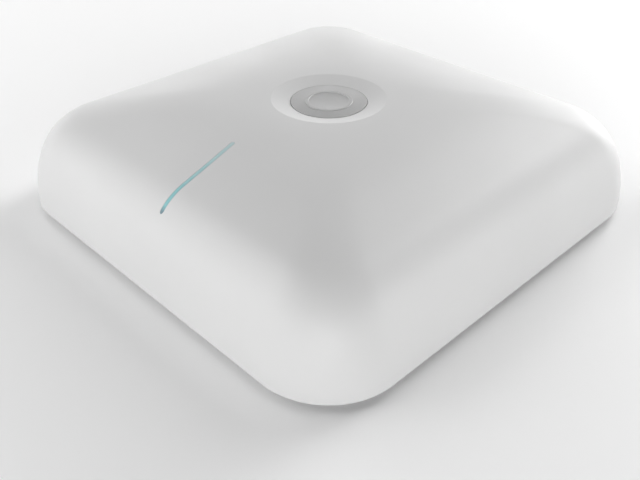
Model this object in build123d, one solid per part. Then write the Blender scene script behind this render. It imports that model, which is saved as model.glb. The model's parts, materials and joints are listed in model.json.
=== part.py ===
from build123d import *
import math
import os

# A ceiling access point: a square radio unit with a soft domed cover, twist-locked on a steel bracket.
# Millimetres. The origin is the centre of the bracket's ceiling face, +Z points from the ceiling out through
# the dome, and the light strip runs from near the middle of the dome towards -Y.

# --- casing -----------------------------------------------------------------------------------------------
HALF = 90.0             # half of the casing's side
CORNER_R = 27.0         # plan corner radius at the cover's lower edge
CORNER_PULL = -1.0      # tightens the plan corners half way in, between the edge and the round dish
EDGE_Z = 2.5            # lower edge of the cover, clear of the ceiling
SIDE_RISE = 28.4        # height of the rounded side above that edge
SIDE_REACH = 19.0       # how far in the side takes to turn over
SIDE_POWER = 2.4        # 2 is a quarter ellipse, and more turns over sooner
CROWN_RISE = 12.4       # further gentle rise from the side to the dish
TOP_Z = EDGE_Z + SIDE_RISE + CROWN_RISE
WALL = 2.2              # cover thickness
SIDE_STEPS = 8          # sections lofted up the side
CROWN_START = 0.77      # where along the side line the nearly flat crown starts
CROWN_STEPS = 5         # cones that make up the crown

DISH_R = 21.8           # rim of the round dish in the top
DISH_FLOOR_R = 15.2     # where its sloping wall ends
DISH_DEPTH = 1.5
LAND_W = 1.5            # flat ring round the dish
LAND_R = DISH_R + LAND_W
LAND_CORNER_R = LAND_R - 0.1
DOME_REACH = HALF - LAND_R
BADGE_R = 14.4
BADGE_T = 1.0
BADGE_RING_R0, BADGE_RING_R1 = 7.6, 9.0
BADGE_RING_H = 0.3
ADHESIVE_T = 0.1
POCKET_R = 14.6         # pocket in the dish floor that holds the badge
POCKET_DEPTH = 1.0
BACKING_T = 1.8         # cover thickness under the pocket

BOSS_XY = 66.0          # cover screws, a square pattern
BOSS_R = 4.0
BOSS_Z = 7.4            # lower end of the cover's screw bosses
INSERT_R = 2.05
INSERT_BORE_R = 1.5
INSERT_LENGTH = 6.0

# --- back cover -------------------------------------------------------------------------------------------
REAR_Z = 0.8            # rear face
REAR_T = 2.0
REAR_HALF = 84.0
REAR_CORNER_R = 21.0
FLANGE_HALF = 87.4
FLANGE_CORNER_R = 24.4
FLANGE_TOP_Z = 4.6
FLANGE_W = 5.0
RIM_HALF = 85.4
RIM_T = 1.8
RIM_TOP_Z = 10.0
CUP_R = 6.0             # raised cup round each cover screw
CUP_TOP_Z = 7.2
CUP_BORE_R = 3.2
CUP_FLOOR_Z = 4.8
RECESS_R = 52.0         # round recess that takes the bracket
RECESS_Z = 6.0          # its floor
RECESS_WALL = 2.0
BAY_X = 26.0            # cable bay, open to the ceiling
BAY_Y0, BAY_Y1 = -12.0, 28.0
BAY_TOP_Z = 19.6
BAY_WALL = 2.0

# --- bayonet ----------------------------------------------------------------------------------------------
BRACKET_R = 47.9
SHEET_T = 1.5           # bracket steel
LUG_COUNT = 3
LUG_FIRST_DEG = 90.0
LUG_DEG = 24.0
LUG_R = 51.4
LUG_Z = 2.5             # the lugs' ceiling side
LUG_ROOT_R = 44.0
LEDGE_DEG = 26.0        # the casing's ledges, which hang on the lugs
LEDGE_R = 48.5
LEDGE_T = 1.5
STOP_DEG = 2.0          # a stop beside each ledge ends the locking turn
STOP_GAP_DEG = 0.6
CABLE_HOLE_X, CABLE_HOLE_Y = 48.0, 36.0
CABLE_HOLE_MID_Y = 8.0
CABLE_HOLE_R = 6.0      # its corners
SCREW_PITCH = 60.0      # ceiling screws, a square pattern
SCREW_HOLE_R = 2.25
BOX_PITCH = 83.3        # outlet-box screws, one line
BOX_SLOT_R = 2.0
BOX_SLOT_LENGTH = 9.0
SPRING_Y = -36.0        # detent leaf, across the bracket
SPRING_W = 6.0
SPRING_T = 0.4
SPRING_LINE = [(-17, 1.5), (-7, 1.5), (4, 5.2), (6, 5.2), (8, 6.3), (10, 5.2), (12, 4.8)]
NOSE_X = 8.0
GROOVE_HALF = 2.9       # the nose rests in this groove
GROOVE_DEPTH = 1.0
RIVET_X = (-14.5, -9.5)
RIVET_R = 1.2
RIVET_HEAD_R = 2.1

# --- boards, plates and fasteners -------------------------------------------------------------------------
SPREADER_Z, SPREADER_T = 9.0, 2.0
SPREADER_HALF = 72.0
SPREADER_CORNER_R = 12.0
THREAD_DEPTH = 7.0      # screw holes in the posts
PEDESTAL_Z = 20.2
BOARD_Z, BOARD_T = 22.4, 1.6
BOARD_X, BOARD_Y0, BOARD_Y1 = 60.0, -44.0, 56.0
POST_X, POST_Y0, POST_Y1 = 54.0, -38.0, 50.0
POST_R = 3.2
FOOT_X, FOOT_Y = 64.0, 28.0          # screws that hold the spreader on the back cover
PLATE_Z, PLATE_T = 28.0, 0.8
PLATE_HALF = 64.0
PLATE_CORNER_R = 18.0
NOTCH_X0, NOTCH_X1, NOTCH_Y = -6.0, 12.0, -45.0         # the plate's notch for the light strip
PILLAR_X, PILLAR_Y0, PILLAR_Y1 = 20.0, -53.0, 60.0
PILLAR_R = 2.8
THREAD_R = 1.25
HEAD_R = 2.4
HEAD_H = 1.5
DRIVE_LENGTH, DRIVE_W, DRIVE_DEPTH = 2.6, 0.6, 0.7      # cross recess
FIT = 0.05              # radial gap round a screw, pin or insert

ANTENNA_RADIUS = 66.5   # antennas stand on the diagonals, this far out
ANTENNA_LENGTH, ANTENNA_W, ANTENNA_H = 24.0, 8.0, 7.2
ANTENNA_SHEET = 0.4
FEED_X = -2.0           # the feed leg, along the antenna
ANTENNA_FOOT, ANTENNA_LIP = 5.0, 3.0
ANTENNA_SLOT_X, ANTENNA_SLOT_W = -4.0, 1.6   # slot in the top, open to neither end
FEED_W = 2.0
COAX_R = 0.6
COAX_LIFT = 0.15        # cable's clearance above the plate
COAX_LINE_Y = (57.0, 51.5, 43.5)             # where a cable turns inwards, starts down, and is down
COAX_PLUG_Z = 1.2       # cable's height above the board at its plug
COAX_BEND = 2.0
COAX_HOLE_RADIUS = 47.2
COAX_HOLE_R = 4.2
PLUG_RADIUS = 38.9
COAX_PLUG_R, COAX_PLUG_H = 1.5, 1.9

CHIP_T = 1.2
PAD_T = 1.0
CAN_H = 2.8
CAN_SHEET = 0.2
PROCESSOR = (-43.0, 10.0, 17.0, 17.0)            # middle x, middle y, length, width
MEMORIES = [(-43.0, -12.0, 9.0, 13.0), (-43.0, 32.0, 9.0, 13.0)]
RADIOS = [(-36.0, 10.0, 12.0, 12.0), (36.0, 10.0, 12.0, 12.0), (0.0, 38.0, 7.0, 7.0)]
CANS = [(-36.0, 10.0, 34.0, 29.0), (36.0, 10.0, 34.0, 29.0), (0.0, 38.0, 24.0, 20.0)]
CAN_HOLE_R, CAN_HOLE_PITCH = 0.8, 5.0
CAPACITORS = [(37.0, -14.0), (47.0, -14.0), (37.0, -25.0)]
CAPACITOR_R, CAPACITOR_H = 4.0, 10.0
TRANSFORMER_XY, TRANSFORMER_SIDE, TRANSFORMER_H = (42.0, 20.0), 14.0, 10.0
WINDING_R = 5.5
INDUCTOR_XY, INDUCTOR_SIDE, INDUCTOR_H = (42.0, 1.0), 10.0, 5.0
LINE_TRANSFORMER = (0.0, -28.0, 16.0, 12.0)
LINE_TRANSFORMER_H = 3.2
TINY_ROWS_Y = (-8.5, -12.0, 45.0)   # rows of chip capacitors
TINY_ROWS_X = (-50.0, 23.0)         # where each row starts
TINY_COUNT, TINY_PITCH = 9, 3.4
TINY_LENGTH, TINY_W, TINY_H = 1.6, 0.9, 0.8

# --- sockets in the cable bay -----------------------------------------------------------------------------
JACK_X = -12.0          # network jack
JACK_W, JACK_H, JACK_D = 16.1, 13.5, 21.3
JACK_SHEET = 0.35
FRONT_Y = BAY_Y0 - 0.3  # front face of both sockets
PLUG_W, PLUG_H, PLUG_D = 12.0, 8.4, 14.0
PLUG_Z = 12.2
KEY_W, KEY_H = 6.6, 2.4
CONTACTS, CONTACT_PITCH, CONTACT_W = 8, 1.02, 0.45
CONTACT_SETBACK, CONTACT_LENGTH, CONTACT_DROP = 2.5, 8.0, 2.4
CONTACT_THICKNESS = 0.4
POWER_X = 8.0           # power jack
POWER_W, POWER_H, POWER_D = 9.0, 11.0, 14.4
POWER_Z = 16.4
POWER_BORE_R, POWER_BORE_D, POWER_PIN_R = 3.2, 10.0, 1.05
RESET_X, RESET_Z = 20.0, 17.0
RESET_R = 1.8
RESET_STEM_R = 1.2
RESET_FIT = 0.06
SWITCH_W, SWITCH_D, SWITCH_H = 6.0, 3.6, 6.0
SWITCH_FRONT_Y = -16.6
SWITCH_BORE_D = 2.6
SWITCH_LEG_W, SWITCH_LEG_D = 0.8, 1.2
COLLAR_R, COLLAR_T = 2.7, 1.4                # keeps the plunger behind the bay wall
RESET_PROUD = 0.8
STEM_DEPTH = 1.8        # how far the plunger's stem stands in the switch

# --- light strip ------------------------------------------------------------------------------------------
STRIP_START = (0.9, -47.2)
STRIP_MIDDLE = (4.0, -64.0)
STRIP_END = (5.2, -80.4)
STRIP_W = 1.5
STRIP_FIT = 0.05
STRIP_FOOT_Z = 23.5
STRIP_FLANGE_W = 3.2
SHROUD_T = 0.8
LIGHT_X0, LIGHT_X1 = -12.0, 10.5     # light board
LIGHT_Y0, LIGHT_Y1 = -83.5, -46.0
LIGHT_Z, LIGHT_T = 20.8, 1.0
LIGHT_SCREWS = [(-8.0, -54.0), (-8.0, -69.0)]
LIGHT_COUNT = 6
LED_SIZE = 1.6
LED_H = 0.8
LIGHT_SOCKET = (-9.0, -62.0)         # the light cable's two ends
BOARD_SOCKET = (-30.0, -40.0)
SOCKET_L, SOCKET_W, SOCKET_H = 5.0, 4.0, 2.0
LIGHT_CABLE_R = 0.8
LIGHT_CABLE_BEND = 2.5

GAP = 0.3               # usual clearance between parts that don't touch
OVER = 1.0              # how far a cut runs past the face it opens


# --- helpers ----------------------------------------------------------------------------------------------
def block(x0, x1, y0, y1, z0, z1):
    """A box between two corners."""
    middle = ((x0 + x1) / 2, (y0 + y1) / 2, (z0 + z1) / 2)
    return Pos(*middle) * Box(abs(x1 - x0), abs(y1 - y0), abs(z1 - z0))


def brick(x, y, length, width, z0, z1):
    """A box on a middle point."""
    return block(x - length / 2, x + length / 2, y - width / 2, y + width / 2, z0, z1)


def rod(x, y, z0, z1, radius):
    """An upright cylinder."""
    return Pos(x, y, (z0 + z1) / 2) * Cylinder(radius, z1 - z0)


def lying_rod(x, z, y0, y1, radius):
    """A cylinder along Y."""
    return Pos(x, (y0 + y1) / 2, z) * Rot(90, 0, 0) * Cylinder(radius, abs(y1 - y0))


def slab(half_x, half_y, radius, z0, z1, x=0.0, y=0.0):
    """An upright slab with rounded plan corners."""
    return extrude(Pos(x, y, z0) * RectangleRounded(2 * half_x, 2 * half_y, radius), z1 - z0)


def sector(r0, r1, z0, z1, middle_deg, width_deg):
    """A piece of a ring, width_deg wide about middle_deg."""
    first, last = (math.radians(middle_deg + side * width_deg / 2) for side in (-1, 1))
    middle = math.radians(middle_deg)

    def at(radius, angle):
        return (radius * math.cos(angle), radius * math.sin(angle))

    edges = [
        ThreePointArc(at(r1, first), at(r1, middle), at(r1, last)),
        Line(at(r1, last), at(r0, last)),
        ThreePointArc(at(r0, last), at(r0, middle), at(r0, first)),
        Line(at(r0, first), at(r1, first)),
    ]
    return extrude(Pos(0, 0, z0) * make_face(Wire(edges)), z1 - z0)


def corners(x, y0, y1):
    """The four places at plus and minus x, at y0 and y1."""
    return [(side * x, y) for side in (-1, 1) for y in (y0, y1)]


def group(shapes):
    """Several separate solids in one node."""
    return Compound(children=[solid for shape in shapes for solid in shape.solids()])


def tube(points, radius, bend):
    """A round cable along straight runs joined by arcs of radius bend."""
    line = FilletPolyline(*points, radius=bend)
    start = Plane(origin=line @ 0, z_dir=line % 0)
    return sweep(start * Circle(radius), path=line)


def screw(x, y, seat_z, length, head_up=True):
    """A pan-head screw. seat_z is the face under its head, and the shank runs away from the head."""
    way = 1 if head_up else -1
    head = rod(x, y, *sorted((seat_z, seat_z + way * HEAD_H)), HEAD_R)
    shank = rod(x, y, *sorted((seat_z, seat_z - way * length)), THREAD_R)
    drive_z = seat_z + way * HEAD_H
    arms = ((DRIVE_LENGTH, DRIVE_W), (DRIVE_W, DRIVE_LENGTH))
    drive = group([brick(x, y, a, b, drive_z - DRIVE_DEPTH, drive_z + DRIVE_DEPTH) for a, b in arms])
    return head + shank - drive.solids()


# --- casing shape -----------------------------------------------------------------------------------------
def side_line(t):
    """The dome's side line from the lower edge, t = 0, to the dish's land, t = 1: reach in and height."""
    share = t * t
    reach = DOME_REACH * share
    left = max(1 - reach / SIDE_REACH, 0.0)
    side = SIDE_RISE * math.sqrt(1 - left ** SIDE_POWER)
    crown = CROWN_RISE * share * (2 - share)
    return reach, EDGE_Z + side + crown


def corner_radius(reach):
    """Plan corner radius at a reach in from the side: tight half way, and round at the dish."""
    share = reach / DOME_REACH
    return (1 - share) ** 2 * CORNER_R + 2 * share * (1 - share) * CORNER_PULL + share ** 2 * LAND_CORNER_R


def dome_section(t, inset):
    """The dome's outline at t along the side line, moved in by inset square to the surface."""
    step = 1e-4
    reach, height = side_line(t)
    reach0, height0 = side_line(max(t - step, 0.0))
    reach1, height1 = side_line(min(t + step, 1.0))
    length = math.hypot(reach1 - reach0, height1 - height0)
    inward = inset * (height1 - height0) / length
    down = inset * (reach1 - reach0) / length
    half = HALF - reach - inward
    return Pos(0, 0, height - down) * RectangleRounded(2 * half, 2 * half, corner_radius(reach) - inward)


def dome(inset, floor_z):
    """The dome as a solid from floor_z up, with its sides and top moved in by inset."""
    side = [dome_section(CROWN_START * i / SIDE_STEPS, inset) for i in range(SIDE_STEPS + 1)]
    rest = 1 - CROWN_START
    crown = [dome_section(CROWN_START + rest * i / CROWN_STEPS, inset) for i in range(CROWN_STEPS + 1)]
    body = loft(side) + loft(crown, ruled=True)
    if floor_z < EDGE_Z:
        half = HALF - inset
        body += slab(half, half, CORNER_R - inset, floor_z, EDGE_Z)
    return body


def strip_outline(width):
    """The light strip's outline in plan, a slot on a shallow arc."""
    return SlotArc(arc=ThreePointArc(STRIP_START, STRIP_MIDDLE, STRIP_END), height=width)


def pattern(shape, places):
    """One shape repeated at several places in plan."""
    return [Pos(x, y, 0) * shape for x, y in places]


def lug_angles():
    return [LUG_FIRST_DEG + i * 360 / LUG_COUNT for i in range(LUG_COUNT)]


BOSSES = corners(BOSS_XY, -BOSS_XY, BOSS_XY)
BOARD_POSTS = corners(POST_X, POST_Y0, POST_Y1)
PILLARS = corners(PILLAR_X, PILLAR_Y0, PILLAR_Y1)
FEET = corners(FOOT_X, -FOOT_Y, FOOT_Y)
DISH_FLOOR_Z = TOP_Z - DISH_DEPTH
POCKET_Z = DISH_FLOOR_Z - POCKET_DEPTH
BADGE_Z = POCKET_Z + ADHESIVE_T
BOARD_TOP_Z = BOARD_Z + BOARD_T
PLATE_TOP_Z = PLATE_Z + PLATE_T
LIGHT_TOP_Z = LIGHT_Z + LIGHT_T
SPREADER_TOP_Z = SPREADER_Z + SPREADER_T
JACK_Z = BOARD_Z - JACK_H


# --- casing parts -----------------------------------------------------------------------------------------
def top_cover():
    """The domed shell, with the dish for the badge, the light strip's slot and four screw bosses."""
    outer = dome(0, EDGE_Z)
    shell = outer - dome(WALL, EDGE_Z - OVER)
    shell += rod(0, 0, POCKET_Z - BACKING_T, TOP_Z - WALL / 2, LAND_R)
    dish = Pos(0, 0, TOP_Z - DISH_DEPTH / 2) * Cone(DISH_FLOOR_R, DISH_R, DISH_DEPTH)
    shell -= dish
    shell -= rod(0, 0, POCKET_Z, TOP_Z, POCKET_R)
    inside = dome(WALL / 2, EDGE_Z)
    for boss in pattern(rod(0, 0, BOSS_Z, TOP_Z, BOSS_R), BOSSES):
        shell += boss & inside
    for hole in pattern(rod(0, 0, BOSS_Z - OVER, BOSS_Z + INSERT_LENGTH + 2, INSERT_R + FIT), BOSSES):
        shell -= hole
    shell -= extrude(Pos(0, 0, LIGHT_TOP_Z) * strip_outline(STRIP_W + 2 * STRIP_FIT), TOP_Z)
    return shell


def badge_disc():
    """A plain disc with one raised ring."""
    disc = rod(0, 0, BADGE_Z, BADGE_Z + BADGE_T, BADGE_R)
    top = BADGE_Z + BADGE_T
    ring = rod(0, 0, top - 0.1, top + BADGE_RING_H, BADGE_RING_R1)
    ring -= rod(0, 0, top - OVER, top + OVER, BADGE_RING_R0)
    return disc + ring


def badge_adhesive():
    return rod(0, 0, POCKET_Z, BADGE_Z, BADGE_R - 1)


def back_cover():
    """The rear tray: round recess with three ledges for the bracket, cable bay, and screw cups."""
    tray = slab(REAR_HALF, REAR_HALF, REAR_CORNER_R, REAR_Z, REAR_Z + REAR_T)
    rear_top = REAR_Z + REAR_T
    flange = slab(FLANGE_HALF, FLANGE_HALF, FLANGE_CORNER_R, rear_top, FLANGE_TOP_Z)
    inner = FLANGE_HALF - FLANGE_W
    flange -= slab(inner, inner, FLANGE_CORNER_R - FLANGE_W, rear_top, FLANGE_TOP_Z)
    rim_r = FLANGE_CORNER_R - (FLANGE_HALF - RIM_HALF)
    rim = slab(RIM_HALF, RIM_HALF, rim_r, rear_top, RIM_TOP_Z)
    inner = RIM_HALF - RIM_T
    rim -= slab(inner, inner, rim_r - RIM_T, rear_top, RIM_TOP_Z)
    tray += flange + rim
    tray += rod(0, 0, REAR_Z, RECESS_Z + RECESS_WALL, RECESS_R + RECESS_WALL)
    bay_x, bay_y0, bay_y1 = BAY_X + BAY_WALL, BAY_Y0 - BAY_WALL, BAY_Y1 + BAY_WALL
    tray += block(-bay_x, bay_x, bay_y0, bay_y1, RECESS_Z, BAY_TOP_Z + BAY_WALL)
    for cup in pattern(rod(0, 0, rear_top - 0.5, CUP_TOP_Z, CUP_R), BOSSES):
        tray += cup
    for foot in pattern(rod(0, 0, rear_top - 0.5, SPREADER_Z, BOSS_R), FEET):
        tray += foot

    tray -= rod(0, 0, 0, RECESS_Z, RECESS_R)
    tray -= block(-BAY_X, BAY_X, BAY_Y0, BAY_Y1, 0, BAY_TOP_Z)
    roof = BAY_TOP_Z + BAY_WALL + OVER
    for x, width, foot_z in ((JACK_X, JACK_W, JACK_Z), (POWER_X, POWER_W, BOARD_Z - POWER_H)):
        half = width / 2 + GAP
        tray -= block(x - half, x + half, bay_y0 - OVER, BAY_Y0, foot_z - GAP, roof)
    tray -= lying_rod(RESET_X, RESET_Z, bay_y0 - OVER, BAY_Y0 + OVER, RESET_R + RESET_FIT)
    for x, y in BOSSES:
        tray -= rod(x, y, 0, CUP_FLOOR_Z, CUP_BORE_R)
        tray -= rod(x, y, 0, CUP_TOP_Z + OVER, INSERT_BORE_R + GAP)
    for x, y in FEET:
        tray -= rod(x, y, rear_top, SPREADER_Z + OVER, THREAD_R + FIT)
    tray -= block(NOSE_X - GROOVE_HALF, NOSE_X + GROOVE_HALF, SPRING_Y - SPRING_W, SPRING_Y + SPRING_W,
                  RECESS_Z - OVER, RECESS_Z + GROOVE_DEPTH)
    for angle in lug_angles():
        tray += sector(LEDGE_R, RECESS_R + 0.5, REAR_Z, REAR_Z + LEDGE_T, angle, LEDGE_DEG)
        stop = angle + LUG_DEG / 2 + STOP_GAP_DEG + STOP_DEG / 2
        tray += sector(LEDGE_R, RECESS_R + 0.5, REAR_Z, RECESS_Z, stop, STOP_DEG)
    return tray


def rating_label():
    """A blank label on the rear face."""
    return slab(20, 7, 1, REAR_Z - 0.15, REAR_Z, y=-70)


def cover_screws():
    return group([screw(x, y, CUP_FLOOR_Z, 8.6, head_up=False) for x, y in BOSSES])


def cover_inserts():
    """Brass inserts in the cover's bosses."""
    insert = rod(0, 0, BOSS_Z + 0.1, BOSS_Z + 0.1 + INSERT_LENGTH, INSERT_R)
    insert -= rod(0, 0, BOSS_Z - OVER, BOSS_Z + INSERT_LENGTH + 2, THREAD_R + FIT)
    return group(pattern(insert, BOSSES))


# --- bracket ----------------------------------------------------------------------------------------------
def mounting_bracket():
    """A pressed-steel disc with three raised lugs, a cable hole and holes for ceiling and box screws."""
    plate = rod(0, 0, 0, SHEET_T, BRACKET_R)
    for angle in lug_angles():
        plate -= sector(LUG_ROOT_R + SHEET_T, BRACKET_R + OVER, -OVER, SHEET_T + OVER, angle, LUG_DEG + 2)
        plate += sector(LUG_ROOT_R, LUG_ROOT_R + SHEET_T, 0, LUG_Z + SHEET_T, angle, LUG_DEG)
        plate += sector(LUG_ROOT_R, LUG_R, LUG_Z, LUG_Z + SHEET_T, angle, LUG_DEG)
    half_x, half_y = CABLE_HOLE_X / 2, CABLE_HOLE_Y / 2
    plate -= slab(half_x, half_y, CABLE_HOLE_R, -OVER, SHEET_T + OVER, y=CABLE_HOLE_MID_Y)
    for x, y in corners(SCREW_PITCH / 2, -SCREW_PITCH / 2, SCREW_PITCH / 2):
        plate -= rod(x, y, -OVER, SHEET_T + OVER, SCREW_HOLE_R)
    for side in (-1, 1):
        slot = SlotOverall(BOX_SLOT_LENGTH, 2 * BOX_SLOT_R)
        plate -= extrude(Pos(side * BOX_PITCH / 2, 0, -OVER) * slot, SHEET_T + 2 * OVER)
    for x in RIVET_X:
        plate -= rod(x, SPRING_Y, -OVER, SHEET_T + OVER, RIVET_R + FIT)
    return plate


def detent_spring():
    """A leaf with a nose that clicks into a groove in the casing, seen from the side as one bent line."""
    upper = [(x, z + SPRING_T) for x, z in reversed(SPRING_LINE)]
    side = make_face(Polyline(*SPRING_LINE, *upper, close=True))
    half = SPRING_W / 2
    leaf = Pos(0, SPRING_Y + half, 0) * Rot(90, 0, 0) * extrude(side, SPRING_W)
    for x in RIVET_X:
        leaf -= rod(x, SPRING_Y, 0, SHEET_T + OVER, RIVET_R + FIT)
    return leaf


def detent_rivets():
    head_z = SHEET_T + SPRING_T
    rivets = []
    for x in RIVET_X:
        head = rod(x, SPRING_Y, head_z, head_z + 0.8, RIVET_HEAD_R)
        rivets.append(head + rod(x, SPRING_Y, 0.1, head_z, RIVET_R))
    return group(rivets)


# --- heat spreader and main board -------------------------------------------------------------------------
def heat_spreader():
    """A cast tray under the main board: posts, pedestals for the hot chips, and a hole for the bay."""
    tray = slab(SPREADER_HALF, SPREADER_HALF, SPREADER_CORNER_R, SPREADER_Z, SPREADER_TOP_Z)
    bay_x = BAY_X + BAY_WALL + GAP
    tray -= block(-bay_x, bay_x, BAY_Y0 - BAY_WALL - GAP, BAY_Y1 + BAY_WALL + GAP, 0, BOARD_Z)
    jack_half = JACK_W / 2 + 2 * GAP
    tray -= block(JACK_X - jack_half, JACK_X + jack_half, FRONT_Y - JACK_D - 1, BAY_Y0, 0, BOARD_Z)
    for x, y in BOSSES:
        tray -= rod(x, y, 0, BOARD_Z, 2 * BOSS_R)
    for x, y in FEET:
        tray -= rod(x, y, 0, BOARD_Z, THREAD_R + FIT)
    posts = [(x, y, POST_R, BOARD_Z) for x, y in BOARD_POSTS]
    posts += [(x, y, PILLAR_R, PLATE_Z) for x, y in PILLARS]
    posts += [(x, y, PILLAR_R, LIGHT_Z) for x, y in LIGHT_SCREWS]
    for x, y, radius, top in posts:
        tray += rod(x, y, SPREADER_Z, top, radius)
        tray -= rod(x, y, top - THREAD_DEPTH, top + OVER, THREAD_R + FIT)
    for x, y, length, width in [PROCESSOR] + MEMORIES:
        tray += brick(x, y, length + 1, width + 1, SPREADER_Z, PEDESTAL_Z)
    return tray


def spreader_screws():
    return group([screw(x, y, SPREADER_TOP_Z, 7) for x, y in FEET])


def main_board():
    board = block(-BOARD_X, BOARD_X, BOARD_Y0, BOARD_Y1, BOARD_Z, BOARD_TOP_Z)
    board = fillet(board.edges().filter_by(Axis.Z), 3)
    for x, y in BOARD_POSTS:
        board -= rod(x, y, 0, TOP_Z, THREAD_R + GAP)
    return board


def board_screws():
    return group([screw(x, y, BOARD_TOP_Z, 6) for x, y in BOARD_POSTS])


def chips(places, under):
    """Flat square chips on the board's upper or lower face."""
    z0, z1 = (BOARD_Z - CHIP_T, BOARD_Z) if under else (BOARD_TOP_Z, BOARD_TOP_Z + CHIP_T)
    return group([brick(x, y, length, width, z0, z1) for x, y, length, width in places])


def thermal_pads():
    places = [PROCESSOR] + MEMORIES
    top = BOARD_Z - CHIP_T
    return group([brick(x, y, length, width, top - PAD_T, top) for x, y, length, width in places])


def shield_can(x, y, length, width):
    """A thin tin lid over one radio, with rows of holes in its top."""
    top = BOARD_TOP_Z + CAN_H
    can = brick(x, y, length, width, BOARD_TOP_Z, top)
    can -= brick(x, y, length - 2 * CAN_SHEET, width - 2 * CAN_SHEET, BOARD_TOP_Z - OVER, top - CAN_SHEET)
    across, along = (int(size // (CAN_HOLE_PITCH + 1)) for size in (length, width))
    for hole in GridLocations(CAN_HOLE_PITCH, CAN_HOLE_PITCH, across, along):
        at = hole.position
        can -= rod(x + at.X, y + at.Y, top - OVER, top + OVER, CAN_HOLE_R)
    return can


def small_components():
    """Rows of chip capacitors beside the processor and the radios, on the board's upper face."""
    tiny = brick(0, 0, TINY_LENGTH, TINY_W, BOARD_TOP_Z, BOARD_TOP_Z + TINY_H)
    places = [(x + TINY_PITCH * i, y) for x in TINY_ROWS_X for y in TINY_ROWS_Y for i in range(TINY_COUNT)]
    return group(pattern(tiny, places))


def network_transformer():
    return brick(*LINE_TRANSFORMER, BOARD_TOP_Z, BOARD_TOP_Z + LINE_TRANSFORMER_H)


def power_transformer():
    """A small wound transformer: core, winding and two rows of feet, potted in one block."""
    x, y = TRANSFORMER_XY
    side = TRANSFORMER_SIDE
    core = brick(x, y, side, side, BOARD_Z - TRANSFORMER_H + 1, BOARD_Z - 1)
    winding = rod(x, y, BOARD_Z - TRANSFORMER_H, BOARD_Z - 1, WINDING_R)
    feet = [brick(x + way * (side / 2 - 1), y, 1.5, side - 1, BOARD_Z - 1.5, BOARD_Z) for way in (-1, 1)]
    return core + winding + feet


def power_inductor():
    coil = brick(*INDUCTOR_XY, INDUCTOR_SIDE, INDUCTOR_SIDE, BOARD_Z - INDUCTOR_H, BOARD_Z)
    return chamfer(coil.edges().filter_by(Axis.Z), 1.5)


def board_capacitors():
    """Upright electrolytic cans."""
    can = rod(0, 0, BOARD_Z - CAPACITOR_H, BOARD_Z, CAPACITOR_R)
    can = fillet(can.edges().group_by(Axis.Z)[0], 0.6)
    return group(pattern(can, CAPACITORS))


# --- sockets and button -----------------------------------------------------------------------------------
def jack_body(inset):
    """The network jack's block with its walls moved in, its front face left where it is."""
    half = JACK_W / 2 - inset
    back = FRONT_Y - JACK_D + inset
    return block(JACK_X - half, JACK_X + half, back, FRONT_Y, JACK_Z + inset, BOARD_Z - inset)


def network_jack_shell():
    """A folded tin box, open at the front."""
    return jack_body(0) - jack_body(JACK_SHEET)


def network_jack_insert():
    """The plastic block in the jack, with the plug's cavity and the notch for its latch."""
    insert = jack_body(JACK_SHEET)
    back = FRONT_Y - PLUG_D
    insert -= block(JACK_X - PLUG_W / 2, JACK_X + PLUG_W / 2, back, FRONT_Y + OVER, PLUG_Z, PLUG_Z + PLUG_H)
    insert -= block(JACK_X - KEY_W / 2, JACK_X + KEY_W / 2, back + 2, FRONT_Y + OVER, PLUG_Z - KEY_H, PLUG_Z)
    return insert


def network_jack_contacts():
    """Eight sprung wires that slope into the cavity from its board side."""
    top = PLUG_Z + PLUG_H
    front = FRONT_Y - CONTACT_SETBACK
    back, low = front - CONTACT_LENGTH, top - CONTACT_DROP
    thick = CONTACT_THICKNESS
    line = [(front, top), (back, low), (back - thick, low), (front - 1.5 * thick, top)]
    side = make_face(Polyline(*line, close=True))
    wires = []
    for i in range(CONTACTS):
        x = JACK_X + (i - (CONTACTS - 1) / 2) * CONTACT_PITCH
        wires.append(Pos(x - CONTACT_W / 2, 0, 0) * extrude(Plane.YZ * side, CONTACT_W))
    return group(wires)


def power_jack():
    half = POWER_W / 2
    body = block(POWER_X - half, POWER_X + half, FRONT_Y - POWER_D, FRONT_Y, BOARD_Z - POWER_H, BOARD_Z)
    body -= lying_rod(POWER_X, POWER_Z, FRONT_Y - POWER_BORE_D, FRONT_Y + OVER, POWER_BORE_R)
    body -= lying_rod(POWER_X, POWER_Z, FRONT_Y - POWER_BORE_D - 2, FRONT_Y, POWER_PIN_R + FIT)
    return body


def power_jack_pin():
    pin = lying_rod(POWER_X, POWER_Z, FRONT_Y - POWER_BORE_D - 1.9, FRONT_Y - 0.6, POWER_PIN_R)
    return fillet(pin.edges().group_by(Axis.Y)[-1], 0.5)


def tact_switch():
    """A right-angle push switch hanging under the board behind the bay wall."""
    back = SWITCH_FRONT_Y - SWITCH_D
    body = block(RESET_X - SWITCH_W / 2, RESET_X + SWITCH_W / 2, back, SWITCH_FRONT_Y,
                 RESET_Z - SWITCH_H / 2, RESET_Z + SWITCH_H / 2)
    for side in (-1, 1):
        x = RESET_X + side * (SWITCH_W - SWITCH_LEG_D) / 2
        body += brick(x, back + SWITCH_LEG_D, SWITCH_LEG_W, SWITCH_LEG_D, RESET_Z, BOARD_Z)
    bore_end = SWITCH_FRONT_Y - SWITCH_BORE_D
    body -= lying_rod(RESET_X, RESET_Z, bore_end, SWITCH_FRONT_Y + OVER, RESET_STEM_R + FIT)
    return body


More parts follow.
